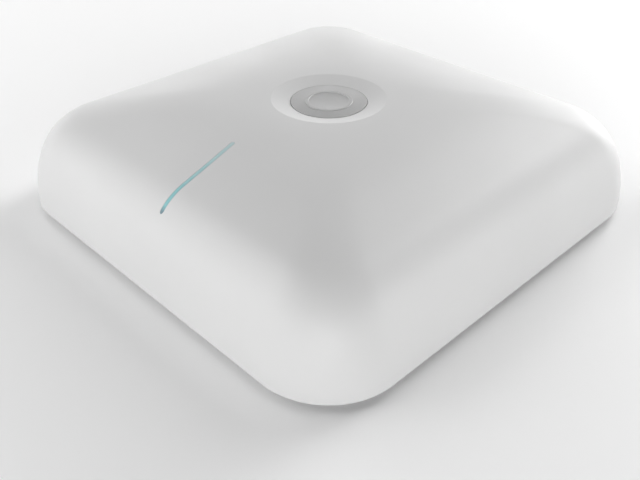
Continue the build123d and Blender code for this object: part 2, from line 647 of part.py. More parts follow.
def reset_button():
    """A plunger through the bay wall, with a collar behind the wall and a stem in the switch."""
    wall_back = BAY_Y0 - BAY_WALL
    collar_y = wall_back - 0.2
    button = lying_rod(RESET_X, RESET_Z, wall_back - 1, BAY_Y0 + RESET_PROUD, RESET_R)
    button = fillet(button.edges().group_by(Axis.Y)[-1], 0.4)
    button += lying_rod(RESET_X, RESET_Z, collar_y - COLLAR_T, collar_y, COLLAR_R)
    button += lying_rod(RESET_X, RESET_Z, SWITCH_FRONT_Y - STEM_DEPTH, wall_back - 1, RESET_STEM_R)
    return button


# --- light strip ------------------------------------------------------------------------------------------
def light_pipe():
    """The frosted strip, flush with the dome, with a wider flange under the cover."""
    strip = extrude(Pos(0, 0, STRIP_FOOT_Z) * strip_outline(STRIP_W), TOP_Z) & dome(0, EDGE_Z)
    flange = extrude(Pos(0, 0, STRIP_FOOT_Z) * strip_outline(STRIP_FLANGE_W), 1) & dome(WALL + GAP, EDGE_Z)
    return strip + flange


def light_shroud():
    """A foam wall round the light sources, between the board and the strip's flange."""
    outline = strip_outline(STRIP_FLANGE_W + 2 * SHROUD_T) - strip_outline(STRIP_FLANGE_W)
    wall = extrude(Pos(0, 0, LIGHT_TOP_Z) * outline, STRIP_FOOT_Z - LIGHT_TOP_Z - 0.1)
    return wall & dome(WALL + GAP, EDGE_Z)


def light_board():
    board = block(LIGHT_X0, LIGHT_X1, LIGHT_Y0, LIGHT_Y1, LIGHT_Z, LIGHT_TOP_Z)
    board = fillet(board.edges().filter_by(Axis.Z), 1.5)
    for x, y in LIGHT_SCREWS:
        board -= rod(x, y, 0, TOP_Z, THREAD_R + GAP)
    return board


def light_board_screws():
    return group([screw(x, y, LIGHT_TOP_Z, 6) for x, y in LIGHT_SCREWS])


def status_leds():
    """Small light sources spaced evenly under the strip."""
    arc = ThreePointArc(STRIP_START, STRIP_MIDDLE, STRIP_END)
    parts = []
    for i in range(LIGHT_COUNT):
        at = arc @ ((i + 0.5) / LIGHT_COUNT)
        parts.append(brick(at.X, at.Y, LED_SIZE, LED_SIZE, LIGHT_TOP_Z, LIGHT_TOP_Z + LED_H))
    return group(parts)


def light_connectors():
    """The cable's two sockets, on the light board and on the main board."""
    return group([
        brick(*LIGHT_SOCKET, SOCKET_W, SOCKET_L, LIGHT_TOP_Z, LIGHT_TOP_Z + SOCKET_H),
        brick(*BOARD_SOCKET, SOCKET_L, SOCKET_W, BOARD_TOP_Z, BOARD_TOP_Z + SOCKET_H),
    ])


def light_cable():
    """Out of the light board's socket sideways, then over the main board's edge into its socket."""
    low, high = LIGHT_TOP_Z + SOCKET_H / 2, BOARD_TOP_Z + SOCKET_H / 2
    x0, y0 = LIGHT_SOCKET
    x1, y1 = BOARD_SOCKET
    route = [
        (x0 - SOCKET_W / 2, y0, low),
        (x1, y0, low),
        (x1, BOARD_Y0 - 10, low),
        (x1, BOARD_Y0 - 4, high),
        (x1, y1 - SOCKET_W / 2, high),
    ]
    return tube(route, LIGHT_CABLE_R, LIGHT_CABLE_BEND)


# --- antennas ---------------------------------------------------------------------------------------------
def on_diagonal(shape, index):
    """Turns a shape drawn for the +Y side onto one of the four diagonals."""
    return Rot(0, 0, -45 + 90 * index) * shape


def antenna_plate():
    """The metal ground plate above the main board, notched for the light strip."""
    plate = slab(PLATE_HALF, PLATE_HALF, PLATE_CORNER_R, PLATE_Z, PLATE_TOP_Z)
    z0, z1 = PLATE_Z - OVER, PLATE_TOP_Z + OVER
    plate -= block(NOTCH_X0, NOTCH_X1, -PLATE_HALF - OVER, NOTCH_Y, z0, z1)
    for index in range(4):
        plate -= on_diagonal(rod(0, COAX_HOLE_RADIUS, z0, z1, COAX_HOLE_R), index)
    for x, y in PILLARS:
        plate -= rod(x, y, 0, TOP_Z, THREAD_R + GAP)
    return plate


def plate_screws():
    return group([screw(x, y, PLATE_TOP_Z, 6) for x, y in PILLARS])


def antenna(index):
    """One folded sheet antenna: foot on the ground plate, riser, slotted top, lip and feed leg."""
    z0, z1 = PLATE_TOP_Z, PLATE_TOP_Z + ANTENNA_H
    length, half = ANTENNA_LENGTH / 2, ANTENNA_W / 2
    y0, y1 = ANTENNA_RADIUS - half, ANTENNA_RADIUS + half
    shape = block(-length, -length + ANTENNA_FOOT, y0, y1, z0, z0 + ANTENNA_SHEET)
    shape += block(-length, -length + ANTENNA_SHEET, y0, y1, z0, z1)
    shape += block(-length, length, y0, y1, z1 - ANTENNA_SHEET, z1)
    shape += block(length - ANTENNA_SHEET, length, y0, y1, z1 - ANTENNA_LIP, z1)
    slot_y0, slot_y1 = ANTENNA_RADIUS - ANTENNA_SLOT_W / 2, ANTENNA_RADIUS + ANTENNA_SLOT_W / 2
    shape -= block(ANTENNA_SLOT_X, length - FEED_W, slot_y0, slot_y1, z1 - OVER, z1 + OVER)
    shape += block(FEED_X - FEED_W / 2, FEED_X + FEED_W / 2, y0, y0 + ANTENNA_SHEET, z0 + GAP, z1)
    return on_diagonal(shape, index)


def coax_cable(index):
    """From the antenna's feed leg, along the plate and through its hole, to the plug on the main board."""
    high, low = PLATE_TOP_Z + COAX_R + COAX_LIFT, BOARD_TOP_Z + COAX_PLUG_Z
    turn_y, drop_y, low_y = COAX_LINE_Y
    route = [
        (FEED_X, ANTENNA_RADIUS - ANTENNA_W / 2 - FIT, high),
        (FEED_X, turn_y, high),
        (0, drop_y, high),
        (0, low_y, low),
        (0, PLUG_RADIUS + COAX_PLUG_R, low),
    ]
    return on_diagonal(tube(route, COAX_R, COAX_BEND), index)


def coax_plugs():
    plug = rod(0, PLUG_RADIUS, BOARD_TOP_Z, BOARD_TOP_Z + COAX_PLUG_H, COAX_PLUG_R)
    return group([on_diagonal(plug, index) for index in range(4)])


def nodes():
    """Every node's name and shape."""
    made = {
        "top_cover": top_cover(),
        "badge_disc": badge_disc(),
        "badge_adhesive": badge_adhesive(),
        "back_cover": back_cover(),
        "rating_label": rating_label(),
        "cover_screws": cover_screws(),
        "cover_inserts": cover_inserts(),
        "mounting_bracket": mounting_bracket(),
        "detent_spring": detent_spring(),
        "detent_rivets": detent_rivets(),
        "heat_spreader": heat_spreader(),
        "spreader_screws": spreader_screws(),
        "main_board": main_board(),
        "board_screws": board_screws(),
        "processor_chip": chips([PROCESSOR], under=True),
        "memory_chips": chips(MEMORIES, under=True),
        "radio_chips": chips(RADIOS, under=False),
        "thermal_pads": thermal_pads(),
        "small_components": small_components(),
        "network_transformer": network_transformer(),
        "power_transformer": power_transformer(),
        "power_inductor": power_inductor(),
        "board_capacitors": board_capacitors(),
        "network_jack_shell": network_jack_shell(),
        "network_jack_insert": network_jack_insert(),
        "network_jack_contacts": network_jack_contacts(),
        "power_jack": power_jack(),
        "power_jack_pin": power_jack_pin(),
        "tact_switch": tact_switch(),
        "reset_button": reset_button(),
        "light_pipe": light_pipe(),
        "light_shroud": light_shroud(),
        "light_board": light_board(),
        "light_board_screws": light_board_screws(),
        "status_leds": status_leds(),
        "light_connectors": light_connectors(),
        "light_cable": light_cable(),
        "antenna_plate": antenna_plate(),
        "plate_screws": plate_screws(),
        "coax_plugs": coax_plugs(),
    }
    for number, place in enumerate(CANS, 1):
        made[f"shield_can_{number}"] = shield_can(*place)
    for index in range(4):
        made[f"antenna_{index + 1}"] = antenna(index)
        made[f"coax_cable_{index + 1}"] = coax_cable(index)
    return made


os.makedirs("parts", exist_ok=True)
for name, shape in nodes().items():
    export_step(shape, f"parts/{name}.step")
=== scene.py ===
import json
import math

import bmesh
import bpy
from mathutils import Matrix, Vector


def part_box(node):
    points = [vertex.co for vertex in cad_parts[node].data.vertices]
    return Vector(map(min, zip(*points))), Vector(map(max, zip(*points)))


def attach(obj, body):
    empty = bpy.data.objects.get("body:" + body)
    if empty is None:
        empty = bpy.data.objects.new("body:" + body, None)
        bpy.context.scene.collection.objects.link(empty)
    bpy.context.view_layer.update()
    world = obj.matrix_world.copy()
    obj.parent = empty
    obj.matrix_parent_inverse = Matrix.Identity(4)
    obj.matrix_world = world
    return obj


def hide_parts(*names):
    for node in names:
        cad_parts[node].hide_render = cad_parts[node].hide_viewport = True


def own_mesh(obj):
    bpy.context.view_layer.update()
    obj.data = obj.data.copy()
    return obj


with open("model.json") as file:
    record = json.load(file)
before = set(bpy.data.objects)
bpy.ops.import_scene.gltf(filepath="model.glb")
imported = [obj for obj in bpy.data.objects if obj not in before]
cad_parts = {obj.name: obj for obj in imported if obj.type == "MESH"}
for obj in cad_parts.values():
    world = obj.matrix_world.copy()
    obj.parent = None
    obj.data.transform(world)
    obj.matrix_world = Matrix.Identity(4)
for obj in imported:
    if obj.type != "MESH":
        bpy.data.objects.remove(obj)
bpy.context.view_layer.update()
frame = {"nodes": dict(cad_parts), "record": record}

MM = 0.001

# The cover's shape, in millimetres, as the CAD makes it.
HALF = 90.0
CORNER_R = 27.0
CORNER_PULL = -1.0
EDGE_Z = 2.5
SIDE_RISE = 28.4
SIDE_REACH = 19.0
SIDE_POWER = 2.4
CROWN_RISE = 12.4
TOP_Z = EDGE_Z + SIDE_RISE + CROWN_RISE
WALL = 2.2
DISH_R = 21.8
DISH_FLOOR_R = 15.2
DISH_DEPTH = 1.5
LAND_W = 1.5
LAND_R = DISH_R + LAND_W
DOME_REACH = HALF - LAND_R
POCKET_R = 14.6
POCKET_DEPTH = 1.0
BACKING_T = 1.8
BOSS_XY = 66.0
BOSS_R = 4.0
BOSS_BORE_R = 2.1
BOSS_Z = 7.4
BOSS_EASE = 0.3
STRIP_START = (0.9, -47.2)
STRIP_MIDDLE = (4.0, -64.0)
STRIP_END = (5.2, -80.4)
STRIP_W = 1.5
STRIP_FIT = 0.07
STRIP_FOOT_Z = 23.5
SLOT_Z0, SLOT_Z1 = 15, 50              # how far down and up the strip's slot is cut
BADGE_RING_R0, BADGE_RING_R1 = 7.6, 9.0
BADGE_RING_H = 0.3
EASE = 0.12                             # softening of the lip and the pocket's rim
DISH_EASE = 0.5

# How finely the pieces are divided.
COVER_STEPS = 96
INSIDE_STEPS = 40
SIDE_RAYS = 56
CORNER_RAYS = 40
BOSS_STEPS = 32
BADGE_STEPS = 160
STRIP_STEPS = 60
STRIP_END_STEPS = 8

# The camera looks at a point below the object, so that the object sits high in the frame.
VIEW_AZIMUTH = math.radians(45.6)
VIEW_ELEVATION = math.radians(35.16)
VIEW_DISTANCE = 0.3229
VIEW_TARGET_ACROSS = -0.0033
VIEW_TARGET_Z = -0.0223
LENS_MM = 42.7

# Softboxes: name, turn round the object and rise in degrees, power in watts.
SOFTBOX_SIZE = 0.8
SOFTBOX_DISTANCE = 1.5
SOFTBOXES = [
    ("right_back_low", 45, 12, 12.0),
    ("right_back_high", 45, 40, 7.9),
    ("front_low", 180, 12, 7.0),
    ("left_high", 270, 40, 5.9),
    ("back_high", 315, 40, 4.1),
]
SOFTBOX_AIM = Vector((0, 0, 0.02))
HORIZON_STRENGTH = 3.35
HORIZON_TOP = 0.5                      # how high the glow reaches, as a share of straight up
FLOOR_REACH = 1.5


# --- meshes -----------------------------------------------------------------------------------------------
def link(name, mesh, body, slot, *replaced):
    """Puts a new piece in the scene, on its body, and hides the CAD nodes that it stands for."""
    piece = bpy.data.objects.new(name, mesh)
    bpy.context.scene.collection.objects.link(piece)
    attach(piece, body)
    if replaced:
        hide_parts(*replaced)
    return piece


def rings_mesh(name, rings, caps=(True, True)):
    """A mesh through rings of points in millimetres. caps says whether the first and last ring are closed."""
    mesh = bmesh.new()
    rows = [[mesh.verts.new([c * MM for c in point]) for point in ring] for ring in rings]
    count = len(rows[0])
    for low, high in zip(rows, rows[1:]):
        for i in range(count):
            j = (i + 1) % count
            mesh.faces.new((low[i], low[j], high[j], high[i]))
    for closed, row, turned in ((caps[0], rows[0], True), (caps[1], rows[-1], False)):
        if closed:
            middle = mesh.verts.new(sum((v.co for v in row), Vector()) / count)
            for i in range(count):
                a, b = row[i], row[(i + 1) % count]
                mesh.faces.new((b, a, middle) if turned else (a, b, middle))
    data = bpy.data.meshes.new(name)
    bmesh.ops.recalc_face_normals(mesh, faces=mesh.faces)
    mesh.to_mesh(data)
    mesh.free()
    return data


def smooth(piece, angle_deg):
    """Smooth shading, except over edges sharper than the angle."""
    piece.data.polygons.foreach_set("use_smooth", [True] * len(piece.data.polygons))
    piece.data.set_sharp_from_angle(angle=math.radians(angle_deg))


def baked(piece):
    """Replaces a piece's mesh with the result of its modifiers."""
    graph = bpy.context.evaluated_depsgraph_get()
    result = bpy.data.meshes.new_from_object(piece.evaluated_get(graph))
    piece.modifiers.clear()
    piece.data = result


def circle(radius, z, count, x=0.0, y=0.0):
    turns = [2 * math.pi * i / count for i in range(count)]
    return [(x + radius * math.cos(a), y + radius * math.sin(a), z) for a in turns]


# --- the dome ---------------------------------------------------------------------------------------------
def side_line(t):
    """The dome's side line from the lower edge, t = 0, to the dish's land, t = 1: reach in and height."""
    share = t * t
    reach = DOME_REACH * share
    left = max(1 - reach / SIDE_REACH, 0.0)
    side = SIDE_RISE * math.sqrt(1 - left ** SIDE_POWER)
    crown = CROWN_RISE * share * (2 - share)
    return reach, EDGE_Z + side + crown


def corner_radius(reach):
    """Plan corner radius at a reach in from the side: wide at the edge, tight half way, round at the dish."""
    share = reach / DOME_REACH
    return (1 - share) ** 2 * CORNER_R + 2 * share * (1 - share) * CORNER_PULL + share ** 2 * LAND_R


def outline_at(t, inset=0.0):
    """Half side, corner radius and height of the dome's outline at t, moved in square to the surface."""
    step = 1e-4
    reach, height = side_line(t)
    reach0, height0 = side_line(max(t - step, 0.0))
    reach1, height1 = side_line(min(t + step, 1.0))
    length = math.hypot(reach1 - reach0, height1 - height0)
    inward = inset * (height1 - height0) / length
    down = inset * (reach1 - reach0) / length
    return HALF - reach - inward, corner_radius(reach) - inward, height - down


def square_distance(half, corner, angle):
    """How far a ray at this angle goes from the centre to a rounded square."""
    across, up = sorted((abs(math.cos(angle)), abs(math.sin(angle))))
    core = half - corner
    straight = half / up
    if straight * across <= core:
        return straight
    middle = core * (across + up)
    return middle + math.sqrt(max(middle * middle - 2 * core * core + corner * corner, 0.0))


def ray_angles(per_side, per_corner):
    """Angles of rays spread evenly along a rounded square's sides and more closely round its corners."""
    core = HALF - CORNER_R
    angles = []
    for quarter in range(4):
        turn = quarter * math.pi / 2
        for i in range(per_side):
            y = -core + 2 * core * i / per_side
            angles.append(turn + math.atan2(y, HALF))
        for i in range(per_corner):
            a = math.pi / 2 * i / per_corner
            angles.append(turn + math.atan2(core + CORNER_R * math.sin(a), core + CORNER_R * math.cos(a)))
    return angles


ANGLES = ray_angles(SIDE_RAYS, CORNER_RAYS)


def ring(distance, height):
    """A ring of points: distance is a function of the ray's angle."""
    return [(distance(a) * math.cos(a), distance(a) * math.sin(a), height) for a in ANGLES]


def dome_ring(t, inset=0.0):
    half, corner, height = outline_at(t, inset)
    return ring(lambda a: square_distance(half, corner, a), height)


def round_ring(radius, height):
    return ring(lambda a: radius, height)


def arc_profile(points, radius, steps=5):
    """A profile of (radius, height) points with its inner corners rounded."""
    line = [points[0]]
    for before, here, after in zip(points, points[1:], points[2:]):
        a = (Vector(before) - Vector(here)).normalized()
        b = (Vector(after) - Vector(here)).normalized()
        half_angle = math.acos(max(-1.0, min(1.0, a.dot(b)))) / 2
        reach = radius / math.tan(half_angle)
        centre = Vector(here) + (a + b).normalized() * (radius / math.sin(half_angle))
        start = Vector(here) + a * reach - centre
        end = Vector(here) + b * reach - centre
        sweep = start.angle_signed(end)
        for i in range(steps + 1):
            turn = -sweep * i / steps
            line.append((
                centre.x + start.x * math.cos(turn) - start.y * math.sin(turn),
                centre.y + start.x * math.sin(turn) + start.y * math.cos(turn),
            ))
    line.append(points[-1])
    return line


def dome_height(x, y):
    """Height of the outer surface over a point in plan."""
    angle, distance = math.atan2(y, x), math.hypot(x, y)
    low, high = 0.0, 1.0
    for _ in range(30):
        middle = (low + high) / 2
        half, corner = outline_at(middle)[:2]
        if square_distance(half, corner, angle) > distance:
            low = middle
        else:
            high = middle
    return outline_at(low)[2]


# --- light strip ------------------------------------------------------------------------------------------
def arc_through(first, middle, last):
    """Centre, radius and the first and last angle of the arc through three points."""
    (x1, y1), (x2, y2), (x3, y3) = first, middle, last
    d = 2 * (x1 * (y2 - y3) + x2 * (y3 - y1) + x3 * (y1 - y2))
    s1, s2, s3 = x1 * x1 + y1 * y1, x2 * x2 + y2 * y2, x3 * x3 + y3 * y3
    cx = (s1 * (y2 - y3) + s2 * (y3 - y1) + s3 * (y1 - y2)) / d
    cy = (s1 * (x3 - x2) + s2 * (x1 - x3) + s3 * (x2 - x1)) / d
    angles = [math.atan2(y - cy, x - cx) for x, y in (first, last)]
    return (cx, cy), math.hypot(x1 - cx, y1 - cy), angles


def strip_outline(width):
    """The strip's outline in plan: out along one side, round the end, and back along the other."""
    (cx, cy), radius, (a0, a1) = arc_through(STRIP_START, STRIP_MIDDLE, STRIP_END)
    way = 1 if a1 > a0 else -1

    def at(angle, offset):
        return cx + (radius + offset) * math.cos(angle), cy + (radius + offset) * math.sin(angle)

    def end(angle, first_turn):
        mx, my = at(angle, 0)
        turns = [first_turn + way * math.pi * i / STRIP_END_STEPS for i in range(1, STRIP_END_STEPS)]
        return [(mx + width / 2 * math.cos(t), my + width / 2 * math.sin(t)) for t in turns]

    span = [a0 + (a1 - a0) * i / STRIP_STEPS for i in range(STRIP_STEPS + 1)]
    points = [at(a, width / 2) for a in span]
    points += end(a1, a1)
    points += [at(a, -width / 2) for a in reversed(span)]
    points += end(a0, a0 + math.pi)
    return points


def prism(name, outline, z0, z1):
    return rings_mesh(name, [[(x, y, z) for x, y in outline] for z in (z0, z1)])


# --- pieces -----------------------------------------------------------------------------------------------
def cover_rings():
    """Rings from the middle of the badge pocket, over the dome, round the lip and back along the inside."""
    pocket_z = TOP_Z - DISH_DEPTH - POCKET_DEPTH
    floor_z = TOP_Z - DISH_DEPTH
    rings = [round_ring(POCKET_R * share, pocket_z) for share in (0.3, 0.7, 1.0)]
    rings.append(round_ring(POCKET_R, floor_z - EASE))
    rings.append(round_ring(POCKET_R + 0.05, floor_z - EASE / 3))
    dish = [(POCKET_R + EASE, floor_z), (DISH_FLOOR_R, floor_z), (DISH_R, TOP_Z), (LAND_R - 0.2, TOP_Z)]
    rings += [round_ring(r, z) for r, z in arc_profile(dish, DISH_EASE)]
    rings += [dome_ring(i / COVER_STEPS) for i in range(COVER_STEPS, -1, -1)]
    half, corner, z = outline_at(0.0)
    for inset, drop in ((EASE, 0.0), (WALL - EASE, 0.0), (WALL, -EASE)):
        rings.append(ring(lambda a: square_distance(half - inset, corner - inset, a), z - drop))
    return rings


def inside_rings():
    """The cover's inner surface, from the lip up to the middle of the backing under the pocket."""
    backing_z = TOP_Z - DISH_DEPTH - POCKET_DEPTH - BACKING_T
    rings = [dome_ring(i / INSIDE_STEPS, WALL) for i in range(1, INSIDE_STEPS + 1)]
    rings += [round_ring(LAND_R, backing_z), round_ring(LAND_R * 0.5, backing_z)]
    return rings


def add_bosses(mesh_data):
    """Adds the four screw bosses to the cover's mesh as closed tubes."""
    mesh = bmesh.new()
    mesh.from_mesh(mesh_data)
    top = dome_height(BOSS_XY, BOSS_XY) - WALL * 0.7
    for sx in (-1, 1):
        for sy in (-1, 1):
            x, y = sx * BOSS_XY, sy * BOSS_XY
            profile = [(BOSS_R, BOSS_Z + BOSS_EASE), (BOSS_R, top), (BOSS_BORE_R, top), (BOSS_BORE_R, BOSS_Z),
                       (BOSS_R - BOSS_EASE, BOSS_Z)]
            rings = [circle(r, z, BOSS_STEPS, x, y) for r, z in profile]
            rows = [[mesh.verts.new([c * MM for c in point]) for point in ring] for ring in rings]
            for low, high in zip(rows, rows[1:] + rows[:1]):
                for i in range(BOSS_STEPS):
                    j = (i + 1) % BOSS_STEPS
                    mesh.faces.new((low[i], low[j], high[j], high[i]))
    bmesh.ops.recalc_face_normals(mesh, faces=mesh.faces)
    mesh.to_mesh(mesh_data)
    mesh.free()


def make_cover():
    """The domed shell: one smooth closed skin with the dish, the strip's slot and the screw bosses."""
    cover = link("cover_shell", rings_mesh("cover_shell", cover_rings() + inside_rings()),
                 "access_point", "cover_white", "top_cover")
    slot = prism("cutter", strip_outline(STRIP_W + 2 * STRIP_FIT), SLOT_Z0, SLOT_Z1)
    cutter = bpy.data.objects.new("cutter", slot)
    bpy.context.scene.collection.objects.link(cutter)
    cut = cover.modifiers.new("slot", "BOOLEAN")
    cut.operation = "DIFFERENCE"
    cut.solver = "EXACT"
    cut.object = cutter
    baked(cover)
    bpy.data.objects.remove(cutter)
    add_bosses(cover.data)
    smooth(cover, 32)
    return cover


def make_strip():
    """The frosted strip, level with the dome, with softened edges and its hidden flange."""
    layers = [(0.0, None), (0.0, -0.10), (0.05, -0.02), (0.16, 0.0), (0.4, 0.02)]
    rings = []
    for inset, lift in layers:
        outline = strip_outline(STRIP_W - 2 * inset)
        rings.append([
            (x, y, STRIP_FOOT_Z if lift is None else dome_height(x, y) + lift)
            for x, y in outline
        ])
    data = rings_mesh("light_strip", rings, caps=(False, False))
    mesh = bmesh.new()
    mesh.from_mesh(data)
    mesh.verts.ensure_lookup_table()
    count = len(rings[0])
    for base in (0, (len(rings) - 1) * count):
        for i in range(STRIP_STEPS):
            across = count - STRIP_END_STEPS - i
            mesh.faces.new([mesh.verts[base + k] for k in (i, i + 1, across - 1, across)])
        mesh.faces.new([mesh.verts[base + k] for k in range(STRIP_STEPS, STRIP_STEPS + STRIP_END_STEPS + 1)])
        mesh.faces.new([mesh.verts[base + k % count] for k in range(count - STRIP_END_STEPS, count + 1)])
    bmesh.ops.recalc_face_normals(mesh, faces=mesh.faces)
    mesh.to_mesh(data)
    mesh.free()
    strip = link("light_strip", data, "access_point", "pipe_frosted", "light_pipe")
    smooth(strip, 40)
    return strip


def make_badge():
    """The disc in the dish, with softened edges and one raised ring."""
    low, high = (corner.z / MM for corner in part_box("badge_disc"))
    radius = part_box("badge_disc")[1].x / MM
    face = high - BADGE_RING_H
    line = [(radius, low), (radius, face), (BADGE_RING_R1, face), (BADGE_RING_R1, high),
            (BADGE_RING_R0, high), (BADGE_RING_R0, face), (0.4, face)]
    profile = [(radius * 0.5, low)] + arc_profile(line, 0.12, 4)
    rings = [circle(r, z, BADGE_STEPS) for r, z in profile]
    badge = link("badge", rings_mesh("badge", rings), "access_point", "badge_silver", "badge_disc")
    smooth(badge, 40)
    return badge


# --- finishes ---------------------------------------------------------------------------------------------
class Finish:
    """A node material: one Principled shader, and calls that add variation to it. Sizes are in metres."""

    def __init__(self, name, colour, roughness, metallic=0.0):
        self.name = name
        self.material = bpy.data.materials.new(name)
        self.material.use_nodes = True
        self.tree = self.material.node_tree
        self.shader = self.tree.nodes["Principled BSDF"]
        self.colour = None
        self.flat = (*colour, 1.0)
        self.normal = None
        self.shader.inputs["Base Color"].default_value = self.flat
        self.shader.inputs["Roughness"].default_value = roughness
        self.shader.inputs["Metallic"].default_value = metallic
        self.place = self.add("ShaderNodeTexCoord").outputs["Object"]

    def add(self, kind, **settings):
        node = self.tree.nodes.new(kind)
        for key, value in settings.items():
            setattr(node, key, value)
        return node

    def join(self, source, target):
        self.tree.links.new(source, target)

    def mapped(self, stretch, turn_deg=0.0):
        mapping = self.add("ShaderNodeMapping")
        mapping.inputs["Scale"].default_value = stretch
        mapping.inputs["Rotation"].default_value = (0, 0, math.radians(turn_deg))
        self.join(self.place, mapping.inputs["Vector"])
        return mapping.outputs["Vector"]

    def noise(self, size, detail=3.0, stretch=(1, 1, 1)):
        """Noise with features about size across."""
        node = self.add("ShaderNodeTexNoise")
        node.inputs["Scale"].default_value = 1 / size
        node.inputs["Detail"].default_value = detail
        self.join(self.mapped(stretch), node.inputs["Vector"])
        return node.outputs["Fac"]

    def cells(self, size, output="Distance"):
        """Cells about size across."""
        node = self.add("ShaderNodeTexVoronoi")
        node.inputs["Scale"].default_value = 1 / size
        self.join(self.mapped((1, 1, 1)), node.inputs["Vector"])
        return node.outputs[output]

    def grid(self, width, height, line, turn_deg=0.0):
        """Lines between bricks of this width and height: 1 on a line, 0 off it."""
        node = self.add("ShaderNodeTexBrick")
        sizes = {"Scale": 1.0, "Brick Width": width, "Row Height": height, "Mortar Size": line}
        for name, number in sizes.items():
            node.inputs[name].default_value = number
        self.join(self.mapped((1, 1, 1), turn_deg), node.inputs["Vector"])
        return node.outputs["Fac"]

    def waves(self, size, direction):
        """Parallel ridges size apart."""
        node = self.add("ShaderNodeTexWave", bands_direction=direction)
        node.inputs["Scale"].default_value = math.pi / (10 * size)
        self.join(self.place, node.inputs["Vector"])
        return node.outputs["Fac"]

    def along(self, axis, low, high):
        """How far a point is from low to high along an axis, from 0 to 1."""
        parts = self.add("ShaderNodeSeparateXYZ")
        self.join(self.place, parts.inputs["Vector"])
        return self.remap(parts.outputs[axis], low, high)

    def edges(self, radius):
        """How much a point lies on an edge, from 0 to 1."""
        bevel = self.add("ShaderNodeBevel", samples=4)
        bevel.inputs["Radius"].default_value = radius
        flat = self.add("ShaderNodeNewGeometry").outputs["Normal"]
        node = self.add("ShaderNodeVectorMath", operation="DOT_PRODUCT")
        self.join(bevel.outputs["Normal"], node.inputs[0])
        self.join(flat, node.inputs[1])
        return self.remap(node.outputs["Value"], 0.995, 0.92)

    def remap(self, value, low, high, out_low=0.0, out_high=1.0):
        node = self.add("ShaderNodeMapRange")
        limits = {"From Min": low, "From Max": high, "To Min": out_low, "To Max": out_high}
        for name, number in limits.items():
            node.inputs[name].default_value = number
        self.join(value, node.inputs["Value"])
        return node.outputs["Result"]

    def tint(self, share, colour):
        """Mixes the colour so far with another, by share."""
        node = self.add("ShaderNodeMix", data_type="RGBA")
        self.join(share, node.inputs[0])
        if self.colour is None:
            node.inputs[6].default_value = self.flat
        else:
            self.join(self.colour, node.inputs[6])
        node.inputs[7].default_value = (*colour, 1.0)
        self.colour = node.outputs[2]
        self.join(self.colour, self.shader.inputs["Base Color"])
        return self

    def cloud(self, size, colour, detail=3.0):
        """Tints the surface in soft patches about size across."""
        return self.tint(self.remap(self.noise(size, detail), 0.3, 0.7), colour)

    def gloss(self, value, low, high):
        """Varies the roughness from low to high with a value from 0 to 1."""
        self.join(self.remap(value, 0.3, 0.7, low, high), self.shader.inputs["Roughness"])
        return self

    def relief(self, value, depth):
        """Adds a fine surface relief of about this depth."""
        node = self.add("ShaderNodeBump")
        node.inputs["Distance"].default_value = depth
        self.join(value, node.inputs["Height"])
        if self.normal is not None:
            self.join(self.normal, node.inputs["Normal"])
        self.normal = node.outputs["Normal"]
        self.join(self.normal, self.shader.inputs["Normal"])
        return self


def shaded(colour, factor):
    return [min(c * factor, 1.0) for c in colour]


def moulded(name, colour, roughness=0.45, grain=0.0005, depth=0.00001):
    """Moulded plastic: spark-eroded grain, faint cloudiness, and a painted highlight that makes the edges
    paler.
    """
    f = Finish(name, colour, roughness)
    f.cloud(0.03, shaded(colour, 0.94), 2)
    # painted highlight: the edges are made paler along a bevel mask
    f.tint(f.remap(f.edges(0.0003), 0, 1, 0, 0.5), shaded(colour, 1.15))
    f.gloss(f.noise(0.012), roughness - 0.05, roughness + 0.06)
    f.relief(f.noise(grain, 2), depth)
    return f


def metal(name, colour, roughness, grain=0.0004, stretch=(1, 1, 1), depth=0.000004, edge_highlight_width=0.0003):
    """Metal: a grain that can run one way, smudges of gloss, and edges made bright by a painted highlight."""
    f = Finish(name, colour, roughness, metallic=1.0)
    f.cloud(0.008, shaded(colour, 0.84))
    # painted highlight: the edges are made brighter along a bevel mask
    f.tint(f.remap(f.edges(edge_highlight_width), 0, 1, 0, 0.6), shaded(colour, 1.3))
    f.gloss(f.noise(grain * 8, 4, stretch), roughness - 0.08, roughness + 0.12)
    f.relief(f.noise(grain, 3, stretch), depth)
    return f


def cover_white():
    """Satin white polycarbonate with a fine even texture."""
    f = Finish("cover_white", (0.603, 0.603, 0.603), 0.46)
    f.cloud(0.05, (0.586, 0.586, 0.586), 2)
    f.gloss(f.noise(0.02), 0.43, 0.51)
    f.relief(f.noise(0.0006, 2), 0.000006)
    f.relief(f.noise(0.03, 1), 0.00004)
    return f


def tray_white():
    """The rear tray's coarser grain, with faint flow marks."""
    f = moulded("tray_white", (0.60, 0.605, 0.61), 0.52, 0.0009, 0.00002)
    f.tint(f.remap(f.noise(0.02, 4, (1, 0.25, 1)), 0.45, 0.75, 0, 0.25), (0.52, 0.525, 0.53))
    return f


def badge_silver():
    """Satin lacquer over turned rings."""
    f = Finish("badge_silver", (0.445, 0.445, 0.445), 0.40)
    f.cloud(0.01, (0.42, 0.42, 0.42), 2)
    # painted highlight: the edges are made lighter along a bevel mask
    f.tint(f.remap(f.edges(0.0002), 0, 1, 0, 0.5), (0.70, 0.705, 0.71))
    f.gloss(f.noise(0.006), 0.34, 0.46)
    turned = f.add("ShaderNodeTexWave", wave_type="RINGS", rings_direction="Z")
    turned.inputs["Scale"].default_value = 900.0
    f.join(f.place, turned.inputs["Vector"])
    f.relief(turned.outputs["Fac"], 0.000002)
    return f


